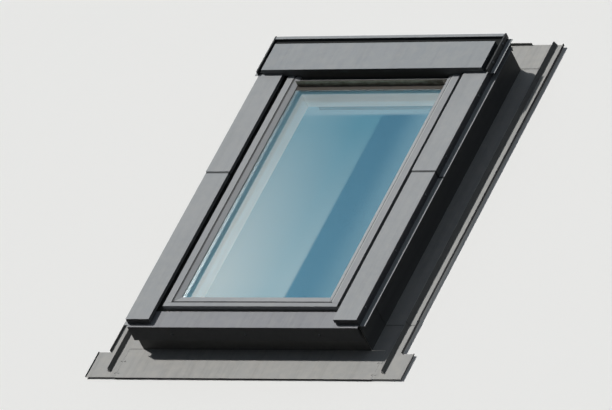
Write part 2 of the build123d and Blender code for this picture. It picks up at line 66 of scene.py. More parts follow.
def new_group(name, inputs, outputs):
    """A shader group with its first and last node. inputs and outputs give each socket's name
    and kind, and inputs also its value."""
    group = bpy.data.node_groups.new(name, "ShaderNodeTree")
    for label, kind, value in inputs:
        socket = group.interface.new_socket(label, in_out="INPUT", socket_type="NodeSocket" + kind)
        socket.default_value = value
    for label, kind in outputs:
        group.interface.new_socket(label, in_out="OUTPUT", socket_type="NodeSocket" + kind)
    return group, add(group, "NodeGroupInput"), add(group, "NodeGroupOutput")


# The window's own directions, in metres, from the frame's.
place_group, _, place_out = new_group("window place", [], [("Place", "Vector")])
place_from = add(place_group, "ShaderNodeTexCoord")
place_turn = add(place_group, "ShaderNodeMapping", Vector=place_from.outputs["Object"],
                 Rotation=(-SLOPE, 0, 0))
feed(place_group, place_out, Place=place_turn.outputs[0])


def use_group(tree, group, **sockets):
    """The outputs of a shader group that is put in with its own values."""
    return add(tree, "ShaderNodeGroup", {"node_tree": group}, **sockets).outputs


def noise(tree, scale, detail, **more):
    """The output of a cloudy noise."""
    return add(tree, "ShaderNodeTexNoise", Scale=scale, Detail=detail, **more).outputs["Fac"]


# Grain of pine, which shows through the paint. Turn is the angle of the timber's length from
# the slope.
grain_group, grain_in, grain_out = new_group(
    "pine grain",
    [("Turn", "Float", 0.0), ("Shift", "Float", 0.0)],
    [("Band", "Float"), ("Fibre", "Float"), ("Cloud", "Float")])
grain_place = use_group(grain_group, place_group)[0]
grain_turn = add(grain_group, "ShaderNodeVectorRotate", {"rotation_type": "Z_AXIS"},
                 Vector=grain_place, Angle=grain_in.outputs["Turn"])
grain_shift = add(grain_group, "ShaderNodeVectorMath", {"operation": "ADD"},
                  at_0=grain_turn.outputs[0], at_1=grain_in.outputs["Shift"])
long_grain = add(grain_group, "ShaderNodeMapping", Vector=grain_shift.outputs[0],
                 Scale=(14, 1.1, 14))
sway = add(grain_group, "ShaderNodeTexNoise", Vector=long_grain.outputs[0], Scale=1.0, Detail=3.0)
ring_at = add(grain_group, "ShaderNodeMixRGB", {"blend_type": "ADD"}, Fac=0.45,
              Color1=long_grain.outputs[0], Color2=sway.outputs["Color"])
rings = add(grain_group, "ShaderNodeTexWave", {"bands_direction": "X", "wave_profile": "SAW"},
            Vector=ring_at.outputs[0], Scale=3.4, Distortion=2.2, Detail=2.0, Detail_Scale=0.6)
fine_grain = add(grain_group, "ShaderNodeMapping", Vector=grain_shift.outputs[0],
                 Scale=(900, 22, 900))
feed(grain_group, grain_out, Band=rings.outputs["Fac"],
     Fibre=noise(grain_group, 1.0, 4.0, Vector=fine_grain.outputs[0]),
     Cloud=noise(grain_group, 9.0, 5.0, Vector=grain_place))


def blend_of(tree, factor, first, second):
    """The output that goes from one colour to another."""
    mix = add(tree, "ShaderNodeMix", {"data_type": "RGBA"}, at_0=factor, at_6=first, at_7=second)
    return mix.outputs[2]


def sum_of(tree, way, first, second=0.0, clamp=False):
    """The output of a sum on one or two numbers."""
    return add(tree, "ShaderNodeMath", {"operation": way, "use_clamp": clamp},
               at_0=first, at_1=second).outputs[0]


def span(tree, value, low, high, new_low=0.0, new_high=1.0):
    """The output that moves a value from one range to another, and stays within it."""
    return add(tree, "ShaderNodeMapRange", {"interpolation_type": "SMOOTHSTEP"}, Value=value,
               From_Min=low, From_Max=high, To_Min=new_low, To_Max=new_high).outputs[0]


def finish_of(name, **plain):
    """A new material, with its tree and its shader. plain gives the shader's fixed values."""
    made = bpy.data.materials.new(name)
    made.use_nodes = True
    shader = made.node_tree.nodes["Principled BSDF"]
    feed(made.node_tree, shader, **plain)
    return made, made.node_tree, shader


def bump(tree, shader, height, strength, distance):
    """Drives the shader's normal by a height."""
    made = add(tree, "ShaderNodeBump", Strength=strength, Distance=distance, Height=height)
    feed(tree, shader, Normal=made.outputs[0])


def painted_timber(name, turn, shift):
    """Pine under satin white paint, with its length at an angle from the slope."""
    made, tree, shader = finish_of(name, IOR=1.5, Specular_IOR_Level=0.35)
    grain = use_group(tree, grain_group, Turn=turn, Shift=shift)
    yellowed = span(tree, grain["Cloud"], 0.35, 0.70, 0.0, 0.6)
    band = span(tree, grain["Band"], 0.55, 1.0, 0.0, 0.45)
    fibres = span(tree, grain["Fibre"], 0.50, 0.78, 0.0, 0.5)
    colour = blend_of(tree, yellowed, WHITE_PAINT, PAINT_YELLOWED)
    colour = blend_of(tree, band, colour, PAINT_IN_GRAIN)
    colour = blend_of(tree, fibres, colour, PAINT_IN_GRAIN)
    feed(tree, shader, Base_Color=colour,
         Roughness=span(tree, grain["Cloud"], 0.3, 0.7, 0.36, 0.50))
    bump(tree, shader, sum_of(tree, "ADD", grain["Fibre"], band), 0.22, 0.0002)
    return made


timber_up = painted_timber("white timber up the slope", 0.0, 0.0)
timber_across = painted_timber("white timber across the window", math.radians(90), 0.37)


def dress(piece, finish):
    """Gives a piece its finish."""
    piece.data.materials.clear()
    piece.data.materials.append(finish)


def soften(piece, radius):
    """Joins the flat faces of a piece and rounds its edges."""
    piece.modifiers.new("weld", "WELD").merge_threshold = 1e-6
    flat = piece.modifiers.new("flat faces", "DECIMATE")
    flat.decimate_type = "DISSOLVE"
    flat.angle_limit = math.radians(1)
    rounded = piece.modifiers.new("rounded edges", "BEVEL")
    rounded.width = radius / 1000
    rounded.segments = 2
    rounded.limit_method = "ANGLE"
    rounded.angle_limit = math.radians(25)
    rounded.use_clamp_overlap = True
    for face in piece.data.polygons:
        face.use_smooth = False


def dress_nodes(names, finish, radius):
    """Gives solids of the window their finish, and rounds their edges."""
    for name in names:
        dress(nodes[name], finish)
        soften(nodes[name], radius)


dress_nodes(("frame_jamb_left", "frame_jamb_right"), timber_up, TIMBER_EDGE)
dress_nodes(("frame_sill", "frame_head"), timber_across, TIMBER_EDGE)

# The sash: two stiles and two rails of the same painted pine, rebated for the glass. It hangs
# on pivots halfway up its sides, and is shut.
dress_nodes(("sash_stile_left", "sash_stile_right"), timber_up, TIMBER_EDGE)
dress_nodes(("sash_bottom_rail", "sash_top_rail"), timber_across, TIMBER_EDGE)

# Rubber of the sash: the seal on its shoulder, under the casings, and the gasket that holds the
# glass. Both are extruded, black and matt, with dust where they lie open.
RUBBER_EDGE = 0.3
dust_group, dust_in, dust_out = new_group(
    "settled dust",
    [("Amount", "Float", 0.3), ("Grain", "Float", 60.0)],
    [("Mask", "Float")])
dust_normal = add(dust_group, "ShaderNodeNewGeometry")
dust_up = add(dust_group, "ShaderNodeSeparateXYZ", Vector=dust_normal.outputs["Normal"])
dust_face = span(dust_group, dust_up.outputs["Z"], 0.1, 0.9)
dust_noise = noise(dust_group, dust_in.outputs["Grain"], 6.0, Roughness=0.62,
                   Vector=use_group(dust_group, place_group)[0])
dust_patch = span(dust_group, dust_noise, 0.35, 0.75)
dust_share = sum_of(dust_group, "MULTIPLY", dust_patch, dust_face)
feed(dust_group, dust_out,
     Mask=sum_of(dust_group, "MULTIPLY", dust_share, dust_in.outputs["Amount"], True))


def rubber_finish(name, colour, dusty, amount, grain, full, rough, shine=0.5, grit=900.0):
    """Matt rubber with dust on it. amount and grain are the dust's own values, and rough gives
    the roughness of clean rubber and of rubber where the dust is full."""
    made, tree, shader = finish_of(name, IOR=1.45, Specular_IOR_Level=shine)
    dust = use_group(tree, dust_group, Amount=amount, Grain=grain)[0]
    feed(tree, shader, Base_Color=blend_of(tree, dust, colour, dusty),
         Roughness=span(tree, dust, 0.0, full, *rough))
    bump(tree, shader, noise(tree, grit, 3.0), 0.2, 0.0001)
    return made


rubber = rubber_finish("black rubber", (0.012, 0.013, 0.013, 1), (0.22, 0.21, 0.19, 1),
                       amount=0.16, grain=90.0, full=0.2, rough=(0.62, 0.85))
dress_nodes(("frame_gasket", "glazing_gasket"), rubber, RUBBER_EDGE)

# Double glazing: two panes of coated float glass with a metal spacer round their edge, bedded
# on a white foam tape in the sash's rebate. The coating mirrors the sky blue, and the panes
# let light through.
GLASS_TINT = (0.93, 0.97, 0.98, 1)
MIRROR_TINT = (0.02, 0.70, 1.0, 1)
PASSING_TINT = (0.88, 0.95, 0.95, 1)
FOAM_CELL = (0.66, 0.67, 0.67, 1)
FOAM_WALL = (0.80, 0.81, 0.81, 1)
SPACER_HOLE = (0.24, 0.24, 0.24, 1)
SPACER_METAL = (0.42, 0.43, 0.44, 1)
SPACER_EDGE = 0.3

pane_glass, tree, shader = finish_of("coated glass", IOR=1.52, Transmission_Weight=1.0,
                                     Roughness=0.0, Base_Color=GLASS_TINT,
                                     Specular_Tint=MIRROR_TINT)
# The lamps' light and scattered light pass the panes straight.
passing = add(tree, "ShaderNodeBsdfTransparent", Color=PASSING_TINT)
rays = add(tree, "ShaderNodeLightPath")
straight = sum_of(tree, "ADD", rays.outputs["Is Shadow Ray"], rays.outputs["Diffuse Depth"], True)
joined = add(tree, "ShaderNodeMixShader", at_0=straight, at_1=shader.outputs[0],
             at_2=passing.outputs[0])
feed(tree, tree.nodes["Material Output"], Surface=joined.outputs[0])
for name in ("outer_pane", "inner_pane"):
    dress(nodes[name], pane_glass)

white_tape, tree, shader = finish_of("white foam tape", IOR=1.45, Specular_IOR_Level=0.2)
foam = add(tree, "ShaderNodeTexVoronoi", Scale=1500.0)
foam_wall = span(tree, foam.outputs["Distance"], 0.1, 0.6)
feed(tree, shader, Base_Color=blend_of(tree, foam_wall, FOAM_CELL, FOAM_WALL),
     Roughness=span(tree, foam_wall, 0.0, 1.0, 0.95, 0.80))
bump(tree, shader, foam_wall, 0.3, 0.0001)
dress_nodes(("glazing_tape",), white_tape, RUBBER_EDGE)

spacer, tree, shader = finish_of("mill-finish spacer", Metallic=1.0)
pores = add(tree, "ShaderNodeTexVoronoi", Vector=use_group(tree, place_group)[0], Scale=260.0)
between_pores = span(tree, pores.outputs["Distance"], 0.12, 0.22)
feed(tree, shader, Base_Color=blend_of(tree, between_pores, SPACER_HOLE, SPACER_METAL),
     Roughness=span(tree, between_pores, 0.0, 1.0, 0.85, 0.62))
bump(tree, shader, between_pores, 0.3, 0.0002)
dress_nodes(("pane_spacer",), spacer, SPACER_EDGE)

# Glazing beads and sash covers: bars along the glass and folded sheet over the sash, with a
# satin grey lacquer. Rain leaves faint runs down the slope, dust lies on the flats, the skirts
# are painted darker as shade, a lap can carry a line of painted shade, and the lacquer is thin
# and paler along the folds.
BEAD_EDGE = 0.8
SHEET_EDGE = 0.3
DUST_COLOUR = (0.52, 0.50, 0.46, 1)
# Near-black colour used as painted shade on the skirts and along laps.
PAINTED_SHADE = (0.030, 0.032, 0.033, 1)
WORN_COLOUR = (0.62, 0.63, 0.64, 1)
MOUNT_Y = -18.0            # middle of the sill bracket, where the frame has its origin
RUN_SHADE = 0.62           # colour in a rain run, as a share of the lacquer's
LAP_SHADE_NEAR = 0.0021     # half the width of the painted shade along a lap, in metres
LAP_SHADE_FAR = 0.0031

edge_group, edge_in, edge_out = new_group(
    "worn edges",
    [("Radius", "Float", 0.0006), ("Amount", "Float", 0.5)],
    [("Mask", "Float")])
edge_bevel = add(edge_group, "ShaderNodeBevel", {"samples": 4}, Radius=edge_in.outputs["Radius"])
edge_geometry = add(edge_group, "ShaderNodeNewGeometry")
edge_dot = add(edge_group, "ShaderNodeVectorMath", {"operation": "DOT_PRODUCT"},
               at_0=edge_bevel.outputs[0], at_1=edge_geometry.outputs["Normal"])
edge_turn = span(edge_group, edge_dot.outputs["Value"], 0.995, 0.86)
edge_break = span(edge_group, noise(edge_group, 140.0, 4.0), 0.30, 0.62)
edge_share = sum_of(edge_group, "MULTIPLY", edge_turn, edge_break)
feed(edge_group, edge_out,
     Mask=sum_of(edge_group, "MULTIPLY", edge_share, edge_in.outputs["Amount"], True))

runs_group, runs_in, runs_out = new_group(
    "rain runs",
    [("Amount", "Float", 0.3), ("Width", "Float", 55.0)],
    [("Mask", "Float")])
runs_long = add(runs_group, "ShaderNodeMapping", Vector=use_group(runs_group, place_group)[0],
                Scale=(1, 0.035, 1))
runs_noise = noise(runs_group, runs_in.outputs["Width"], 5.0, Roughness=0.7,
                   Vector=runs_long.outputs[0])
runs_line = span(runs_group, runs_noise, 0.42, 0.72)
feed(runs_group, runs_out,
     Mask=sum_of(runs_group, "MULTIPLY", runs_line, runs_in.outputs["Amount"], True))

# How far a face looks outwards: 1 on the flats, 0 on the skirts and upstands.
outward_group, _, outward_out = new_group("looks outward", [], [("Outward", "Float")])
outward_from = add(outward_group, "ShaderNodeNewGeometry")
outward_turn = add(outward_group, "ShaderNodeVectorRotate", {"rotation_type": "X_AXIS"},
                   Vector=outward_from.outputs["Normal"], Angle=-SLOPE)
outward_part = add(outward_group, "ShaderNodeSeparateXYZ", Vector=outward_turn.outputs[0])
feed(outward_group, outward_out, Outward=outward_part.outputs["Z"])


def lacquered(name, colour, pale, dusty, streaky, gloss, skirt_shade=0.75, lap_y=None):
    """Satin lacquer on sheet metal. dusty and streaky say how much has settled on the flats and
    run down them; the next amount says how far the skirts are painted dark, as shade. A lap at
    lap_y gets a line of painted shade."""
    made, tree, shader = finish_of(name, IOR=1.5, Specular_IOR_Level=0.06)
    place = use_group(tree, place_group)[0]
    faded = span(tree, noise(tree, 7.0, 4.0, Vector=place), 0.3, 0.7, 0.0, 0.22)
    runs = use_group(tree, runs_group, Amount=streaky, Width=60.0)[0]
    dust = use_group(tree, dust_group, Amount=dusty, Grain=45.0)[0]
    outward = use_group(tree, outward_group)[0]
    edges = use_group(tree, edge_group, Radius=0.0008, Amount=0.30)[0]
    shade = blend_of(tree, faded, colour, pale)
    shade = blend_of(tree, runs, shade, tuple(c * RUN_SHADE for c in colour[:3]) + (1,))
    shade = blend_of(tree, dust, shade, DUST_COLOUR)
    # Painted shade: faces that don't look outward, the skirts and upstands, are darkened.
    shade = blend_of(tree, span(tree, outward, 0.75, 0.2, 0.0, skirt_shade), shade, PAINTED_SHADE)
    # A line of painted shade along the lap of the casings.
    if lap_y:
        along = add(tree, "ShaderNodeSeparateXYZ", Vector=place).outputs["Y"]
        past_lap = sum_of(tree, "SUBTRACT", along, (lap_y - MOUNT_Y) / 1000)
        from_lap = sum_of(tree, "ABSOLUTE", past_lap)
        lap_shade = span(tree, from_lap, LAP_SHADE_FAR, LAP_SHADE_NEAR, 0.0, 0.85)
        shade = blend_of(tree, lap_shade, shade, PAINTED_SHADE)
    rough = sum_of(tree, "ADD", span(tree, dust, 0.0, 0.5, gloss, gloss + 0.25),
                   span(tree, runs, 0.0, 0.5, 0.0, 0.12))
    feed(tree, shader, Base_Color=blend_of(tree, edges, shade, WORN_COLOUR), Roughness=rough)
    bump(tree, shader, noise(tree, 520.0, 2.0, Vector=place), 0.18, 0.0001)
    return made


bead_grey = lacquered("grey bead lacquer", (0.340, 0.350, 0.365, 1), (0.42, 0.43, 0.44, 1),
                      dusty=0.18, streaky=0.10, gloss=0.34, skirt_shade=0.2)
dress_nodes(("glazing_bead_left", "glazing_bead_right", "glazing_bead_bottom"), bead_grey,
            BEAD_EDGE)
dress_nodes(("sash_cover_left", "sash_cover_right", "sash_cover_bottom", "sash_cover_top"),
            bead_grey, SHEET_EDGE)

# The top bead, under the hood: an angle with a brown-grey lacquer, which holds the upper edge
# of the glass. Its own upper edge is painted nearly black, as shade, so that it doesn't catch
# the light.
TOP_BEAD_EDGE = 0.4
TOP_BEAD_PALE = (0.300, 0.275, 0.230, 1)
TOP_BEAD_DARK = (0.210, 0.185, 0.150, 1)
TOP_BEAD_EDGE_SHADE = (0.020, 0.018, 0.015, 1)
top_brown, tree, shader = finish_of("brown top bead", Specular_IOR_Level=0.15)
top_cloud = noise(tree, 60.0, 5.0, Vector=use_group(tree, place_group)[0])
top_shade = blend_of(tree, span(tree, top_cloud, 0.35, 0.65), TOP_BEAD_PALE, TOP_BEAD_DARK)
# Painted shade: the faces that look outward, the bead's upper edge, are darkened nearly to black.
top_edge_shade = span(tree, use_group(tree, outward_group)[0], 0.2, 0.7, 0.0, 0.92)
feed(tree, shader, Base_Color=blend_of(tree, top_edge_shade, top_shade, TOP_BEAD_EDGE_SHADE),
     Roughness=span(tree, top_cloud, 0.3, 0.7, 0.5, 0.7))
bump(tree, shader, top_cloud, 0.2, 0.0002)
dress_nodes(("glazing_bead_top",), top_brown, TOP_BEAD_EDGE)

# Casings of the frame: an upper and a lower length on each side, lapped a little above the
# middle, and the bottom casing between them. Each length is one folded sheet, held by screws
# through its skirt.
LAP_Y = 511.4
casing_grey = lacquered("grey casing lacquer", (0.346, 0.360, 0.373, 1), (0.42, 0.43, 0.44, 1),
                        dusty=0.18, streaky=0.22, gloss=0.38, lap_y=LAP_Y)
bottom_grey = lacquered("grey bottom casing lacquer", (0.300, 0.306, 0.326, 1),
                        (0.36, 0.37, 0.38, 1), dusty=0.16, streaky=0.28, gloss=0.40)
dress_nodes(("side_casing_lower_left", "side_casing_lower_right", "side_casing_upper_left",
             "side_casing_upper_right"), casing_grey, SHEET_EDGE)
dress_nodes(("bottom_casing",), bottom_grey, SHEET_EDGE)

# The hood over the head: a raised face in a groove lined with rubber, with a rim round its
# ends and back, on a plate that lies on the side casings. The sheet is lacquered, and a
# moulded cap of black plastic closes each end.
CAP_EDGE = 0.5
CAP_BLACK = (0.016, 0.017, 0.018, 1)
CAP_DUSTY = (0.25, 0.24, 0.22, 1)
hood_grey = lacquered("grey hood lacquer", (0.322, 0.342, 0.360, 1), (0.40, 0.41, 0.42, 1),
                      dusty=0.20, streaky=0.20, gloss=0.38)
dress_nodes(("hood", "hood_back", "head_casing"), hood_grey, SHEET_EDGE)
sheltered_rubber = rubber_finish("sheltered rubber", (0.008, 0.009, 0.009, 1),
                                 (0.12, 0.11, 0.10, 1), amount=0.03, grain=90.0, full=0.05,
                                 rough=(0.72, 0.88), shine=0.15)
dress_nodes(("hood_gasket",), sheltered_rubber, RUBBER_EDGE)
cap_plastic, tree, shader = finish_of("black cap plastic", IOR=1.46, Specular_IOR_Level=0.3)
cap_grain = noise(tree, 1400.0, 2.0, Vector=use_group(tree, place_group)[0])
cap_dust = use_group(tree, dust_group, Amount=0.10, Grain=70.0)[0]
feed(tree, shader, Base_Color=blend_of(tree, cap_dust, CAP_BLACK, CAP_DUSTY),
     Roughness=span(tree, cap_grain, 0.3, 0.7, 0.48, 0.62))
bump(tree, shader, cap_grain, 0.25, 0.0001)
dress_nodes(("hood_end_left", "hood_end_right"), cap_plastic, CAP_EDGE)

# Fixings of the outer metal: pan-head screws with a cross recess, through the skirts of the
# casings and through the caps of the hood, in the colour of the sheet.
SIDES = (("left", -1), ("right", 1))
RING_POINTS = 24
RING_STEP = 360 / RING_POINTS
CASING_FACE = 330.0        # outer face of an upper casing's skirt
SHEET_LAP = 1.2
LOWER_FACE = CASING_FACE - SHEET_LAP
CAP_FACE = 333.4
SCREW_LEVEL = 99.5
CAP_SCREW_LEVEL = 113.6
BOTTOM_SCREW_LEVEL = 66.0
LOWER_SCREWS = (60, 250, 440)
UPPER_SCREWS = (570, 780)
CAP_SCREWS = (882, 946)
BOTTOM_SCREWS = (-210, 0, 210)
tilt = Matrix.Rotation(SLOPE, 4, "X")

# Outlines as shares of a radius, and the rings of a head: outline, radius and height.
ROUND = [1.0] * RING_POINTS
CROSS = [0.45, 0.46, 0.23, 0.16, 0.23, 0.46] * 4
PAN_HEAD = [(ROUND, 4.0, 0.0), (ROUND, 4.0, 0.5), (ROUND, 3.7, 1.3), (ROUND, 2.9, 1.9),
            (ROUND, 2.1, 2.15), (CROSS, 4.0, 2.2), (CROSS, 3.0, 1.0)]


def on_slope(x, y, z):
    """A point of the window, in millimetres, as a place in the frame, in metres."""
    return tilt @ (Vector((x, y - MOUNT_Y, z)) / 1000)


def skin(mesh, rings):
    """Closes a row of rings into a solid."""
    count = len(rings[0])
    mesh.faces.new(list(reversed(rings[0])))
    for near, far in zip(rings, rings[1:]):
        for k in range(count):
            after = (k + 1) % count
            mesh.faces.new((near[k], near[after], far[after], far[k]))
    mesh.faces.new(rings[-1])


def fit_piece(name, mesh, finish):
    """A new piece with its finish, which rides with the window."""
    data = bpy.data.meshes.new(name)
    mesh.to_mesh(data)
    mesh.free()
    piece = bpy.data.objects.new(name, data)
    picture.collection.objects.link(piece)
    dress(piece, finish)
    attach(piece, "root")
    return piece


def fixings(name, spots, facing, head, finish):
    """A row of like turned fixings that stand on a face. head gives their rings, from the
    foot up."""
    mesh = bmesh.new()
    turn = (tilt.to_3x3() @ Vector(facing)).to_track_quat("Z", "Y").to_matrix().to_4x4()
    for spot in spots:
        seat = Matrix.Translation(on_slope(*spot)) @ turn
        rings = []
        for outline, radius, height in head:
            ring = []
            for k, share in enumerate(outline):
                angle = math.radians(RING_STEP * k)
                reach = radius * share / 1000
                ring.append(mesh.verts.new(seat @ Vector((
                    reach * math.cos(angle), reach * math.sin(angle), height / 1000))))
            rings.append(ring)
        skin(mesh, rings)
    fit_piece(name, mesh, finish)


for side, way in SIDES:
    for name, face, places, level in (
            ("lower_casing_screws_", LOWER_FACE, LOWER_SCREWS, SCREW_LEVEL),
            ("upper_casing_screws_", CASING_FACE, UPPER_SCREWS, SCREW_LEVEL),
            ("hood_cap_screws_", CAP_FACE, CAP_SCREWS, CAP_SCREW_LEVEL)):
        fixings(name + side, [(way * face, y, level) for y in places], (way, 0, 0), PAN_HEAD,
                casing_grey)
fixings("bottom_casing_screws", [(x, 0.0, BOTTOM_SCREW_LEVEL) for x in BOTTOM_SCREWS],
        (0, -1, 0), PAN_HEAD, bottom_grey)

# Lips of the side beads: a domed strip of grey rubber, pressed into the joint between each
# bead and its sash cover. The right-hand strip is painted paler, as light where the sun falls
# on it.
LIP_INNER = 224.8
LIP_OUTER = 229.2
LIP_BASE = 96.1
LIP_CROWN = 101.6
LIP_START = 78.2
LIP_END = 860.0
DOME_RISE = 2.0
DOME_STEPS = 8


def extruded(name, section, start, end, across, finish):
    """A strip with one section all along it. The section's points are x and z where it runs
    up the slope, and y and z where it runs across."""
    mesh = bmesh.new()
    skin(mesh, [[mesh.verts.new(on_slope(at, a, b) if across else on_slope(a, at, b))
                 for a, b in section] for at in (start, end)])
    bmesh.ops.recalc_face_normals(mesh, faces=mesh.faces)
    return fit_piece(name, mesh, finish)


def dome(inner, outer, base, crown):
    """The section of a strip with a round top, between two edges."""
    middle, half = (inner + outer) / 2, (outer - inner) / 2
    points = [(inner, base), (outer, base)]
    for step in range(DOME_STEPS + 1):
        angle = math.pi * step / DOME_STEPS
        points.append((middle + half * math.cos(angle),
                       crown - DOME_RISE + DOME_RISE * math.sin(angle)))
    return points


def lip_rubber(name, colour, dusty):
    """Grey rubber with a little dust on it."""
    return rubber_finish(name, colour, dusty, amount=0.35, grain=120.0, full=0.4,
                         rough=(0.55, 0.85), shine=0.3, grit=700.0)


# The right-hand rubber is painted pale, as sunlight on it.
lips = {"left": lip_rubber("grey lip rubber", (0.105, 0.105, 0.106, 1), (0.24, 0.23, 0.21, 1)),
        "right": lip_rubber("lip rubber painted sunlit", (0.52, 0.53, 0.53, 1), (0.50, 0.49, 0.46, 1))}
for side, way in SIDES:
    extruded("bead_lip_" + side, dome(way * LIP_INNER, way * LIP_OUTER, LIP_BASE, LIP_CROWN),
             LIP_START, LIP_END, False, lips[side])

# Lip of the top bead: a flat strip of brown rubber with two ribs, which lies on the glass
# along the bead's foot. Rain hardly washes it, so it is the dustiest.
TOP_LIP_HALF = 211.3
TOP_LIP_LOW = 812.0
TOP_LIP_HIGH = 825.8
TOP_LIP_BASE = 94.05
TOP_LIP_THICK = 1.7
TOP_LIP_RIB = 0.4
TOP_LIP_TOP = TOP_LIP_BASE + TOP_LIP_THICK
TOP_LIP_FLAT = TOP_LIP_TOP - TOP_LIP_RIB
LIP_BROWN = (0.046, 0.040, 0.034, 1)
LIP_BROWN_DUSTY = (0.13, 0.11, 0.09, 1)
brown_rubber, tree, shader = finish_of("brown lip rubber", IOR=1.45, Specular_IOR_Level=0.2)
lip_dust = use_group(tree, dust_group, Amount=0.5, Grain=70.0)[0]
feed(tree, shader, Base_Color=blend_of(tree, lip_dust, LIP_BROWN, LIP_BROWN_DUSTY),
     Roughness=span(tree, lip_dust, 0.0, 0.4, 0.60, 0.85))
bump(tree, shader, lip_dust, 0.2, 0.0002)
top_lip_section = [
    (TOP_LIP_LOW, TOP_LIP_BASE), (TOP_LIP_LOW, TOP_LIP_BASE + 0.5),
    (TOP_LIP_LOW + 1.2, TOP_LIP_BASE + 0.9), (TOP_LIP_LOW + 5.0, TOP_LIP_FLAT),
    (TOP_LIP_LOW + 6.0, TOP_LIP_TOP), (TOP_LIP_LOW + 8.0, TOP_LIP_TOP),
    (TOP_LIP_LOW + 9.0, TOP_LIP_FLAT), (TOP_LIP_HIGH - 4.0, TOP_LIP_FLAT),
    (TOP_LIP_HIGH - 3.0, TOP_LIP_TOP), (TOP_LIP_HIGH, TOP_LIP_TOP),
    (TOP_LIP_HIGH, TOP_LIP_BASE)]
extruded("top_bead_lip", top_lip_section, -TOP_LIP_HALF, TOP_LIP_HALF, True, brown_rubber)

# Draught seal: a round-topped black strip in the gap between the sash and the frame, all
# round. It hides the gap from outside and keeps the daylight out of it.
SEAL_BASE = 76.5
SEAL_CROWN = 82.0
SEAL_WIDTH = 3.4
SEAL_INNER = 281.3         # inner edge of the side strips, 0.3 mm off the sash
SEAL_LOW = 52.3            # lower edge of the bottom strip
SEAL_HIGH = 929.7          # upper edge of the top strip
SEAL_ACROSS = 281.2
for side, way in SIDES:
    extruded("draught_seal_" + side,
             dome(way * SEAL_INNER, way * (SEAL_INNER + SEAL_WIDTH), SEAL_BASE, SEAL_CROWN),
             SEAL_LOW, SEAL_HIGH, False, rubber)
for side, low in (("bottom", SEAL_LOW), ("top", SEAL_HIGH - SEAL_WIDTH)):
    extruded("draught_seal_" + side, dome(low, low + SEAL_WIDTH, SEAL_BASE, SEAL_CROWN),
             -SEAL_ACROSS, SEAL_ACROSS, True, rubber)

# The flashing: the apron, its corner pieces, the side gutters and the head flashing, folded
# from the same sheet, hemmed, and riveted at the apron's seams. It lies flat in the weather,
# so it is paler, dustier and more streaked.
FLASHING_LEVEL = 4.0
RIVETS_X = (361, 371)
RIVETS_Y = (-70, -30)
RIVET = [(ROUND, 2.6, 0.0), (ROUND, 2.4, 0.5), (ROUND, 1.7, 1.0), (ROUND, 0.8, 1.2),
         (ROUND, 0.55, 0.9)]
flashing_grey = lacquered("grey flashing lacquer", (0.385, 0.384, 0.376, 1),
                          (0.47, 0.465, 0.45, 1), dusty=0.42, streaky=0.34, gloss=0.46)
dress_nodes(("apron", "apron_corner_left", "apron_corner_right", "side_gutter_left",
             "side_gutter_right", "head_flashing"), flashing_grey, SHEET_EDGE)
for side, way in SIDES:
    fixings("apron_rivets_" + side,
            [(way * x, y, FLASHING_LEVEL) for x in RIVETS_X for y in RIVETS_Y],
            (0, 0, 1), RIVET, flashing_grey)

# Brackets of galvanised steel angle under the sill and the head, each held to the frame by
# four hexagon screws with a washer face. The zinc has a coarse spangle.
BRACKET_EDGE = 0.5
BRACKET_SCREWS = (-180, -60, 60, 180)
BRACKET_SCREW_LEVEL = -11.0
SILL_BRACKET_FACE = 9.5
HEAD_BRACKET_FACE = 972.5
ZINC_DARK = (0.36, 0.37, 0.38, 1)
ZINC_PALE = (0.54, 0.55, 0.56, 1)
HEXAGON = [math.cos(math.radians(30)) / math.cos(math.radians(RING_STEP * k % 60 - 30))
           for k in range(RING_POINTS)]
HEX_HEAD = [(ROUND, 6.0, 0.0), (ROUND, 6.0, 0.8), (ROUND, 4.9, 1.2), (HEXAGON, 4.6, 1.3),
            (HEXAGON, 4.6, 3.6), (ROUND, 3.9, 4.1), (ROUND, 1.0, 4.1)]
galvanised, tree, shader = finish_of("galvanised steel", Metallic=1.0)
spangle = add(tree, "ShaderNodeTexVoronoi", Vector=use_group(tree, place_group)[0], Scale=190.0)
crystal = add(tree, "ShaderNodeSeparateColor", Color=spangle.outputs["Color"]).outputs
feed(tree, shader, Base_Color=blend_of(tree, crystal[0], ZINC_DARK, ZINC_PALE),
     Roughness=span(tree, crystal[1], 0.0, 1.0, 0.52, 0.70))
bump(tree, shader, crystal[2], 0.12, 0.0001)
dress_nodes(("sill_bracket", "head_bracket"), galvanised, BRACKET_EDGE)
for name, y, way in (("sill_bracket_screws", SILL_BRACKET_FACE, -1),
                     ("head_bracket_screws", HEAD_BRACKET_FACE, 1)):
    fixings(name, [(x, y, BRACKET_SCREW_LEVEL) for x in BRACKET_SCREWS], (0, way, 0), HEX_HEAD,
            galvanised)

# The control bar: a flat bar of satin aluminium with round edges across the sash's top rail,
# closed by a cap at each end. A grip lip, coated grey, runs along its lower edge.
FITTING_EDGE = 0.6
TRIM_EDGE = 0.4
BAR_LOW = 849.4
BAR_HIGH = 896.6
BAR_FACE = 3.1
BAR_BACK = 21.6
BAR_CORNER = 6.5
BAR_HALF = 200.1
BAR_CAP_HALF = 205.0
GRIP_HALF = 197.0
CORNER_STEPS = 6
ALUMINIUM_DARK = (0.46, 0.47, 0.48, 1)
ALUMINIUM_PALE = (0.62, 0.62, 0.63, 1)
GRIP_DARK = (0.30, 0.31, 0.31, 1)
GRIP_PALE = (0.40, 0.41, 0.41, 1)
aluminium, tree, shader = finish_of("satin aluminium", Metallic=1.0)
brush_long = add(tree, "ShaderNodeMapping", Vector=use_group(tree, place_group)[0],
                 Scale=(4, 900, 900))
brush = noise(tree, 1.0, 3.0, Vector=brush_long.outputs[0])
feed(tree, shader, Base_Color=blend_of(tree, brush, ALUMINIUM_DARK, ALUMINIUM_PALE),
     Roughness=span(tree, brush, 0.2, 0.8, 0.42, 0.56))
